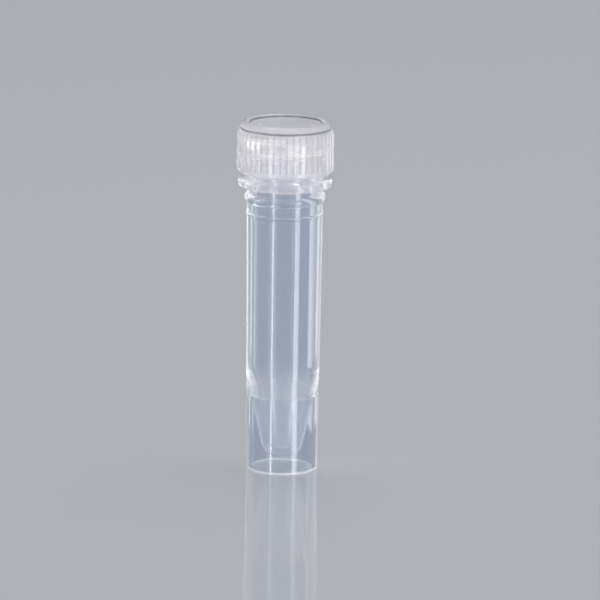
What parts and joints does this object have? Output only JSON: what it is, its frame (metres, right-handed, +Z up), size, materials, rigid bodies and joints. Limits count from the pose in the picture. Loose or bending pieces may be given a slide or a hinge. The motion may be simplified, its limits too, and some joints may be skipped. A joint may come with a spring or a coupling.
{
  "type": "self-standing screw-cap micro tube",
  "caption": "Small clear plastic lab tube with a skirted foot, a conical inside bottom and a ribbed screw cap over a sealing ring.",
  "frame": {"origin": "centre of the foot ring's plane, on the tube's own axis", "axes": "+Z up along the tube's axis, towards the cap; +X and +Y square to it, with both threads beginning at +X"},
  "size_m": [0.013, 0.013, 0.0472],
  "materials": {
    "tube_polypropylene": "smooth moulded natural polypropylene, clear with a faint cool haze",
    "cap_polypropylene": "moulded natural polypropylene, milky and translucent",
    "seal_silicone": "matt pale silicone"
  },
  "bodies": {
    "tube_body": {"tube": "tube_polypropylene"},
    "seal_carriage": {"o_ring": "seal_silicone"},
    "cap_body": {"screw_cap": "cap_polypropylene"}
  },
  "joints": [
    {"name": "cap_rise", "type": "slide", "parent": "tube_body", "child": "seal_carriage", "axis": [0, 0, 1], "range_m": [0, 0.01]},
    {"name": "cap_turn", "type": "hinge", "parent": "seal_carriage", "child": "cap_body", "pos_m": [0, 0, 0.043], "axis": [0, 0, 1], "range_deg": [0, 1800]}
  ],
  "couplings": [
    {"joint": "cap_turn", "follows": "cap_rise", "rad_per_m": 3141.6}
  ]
}
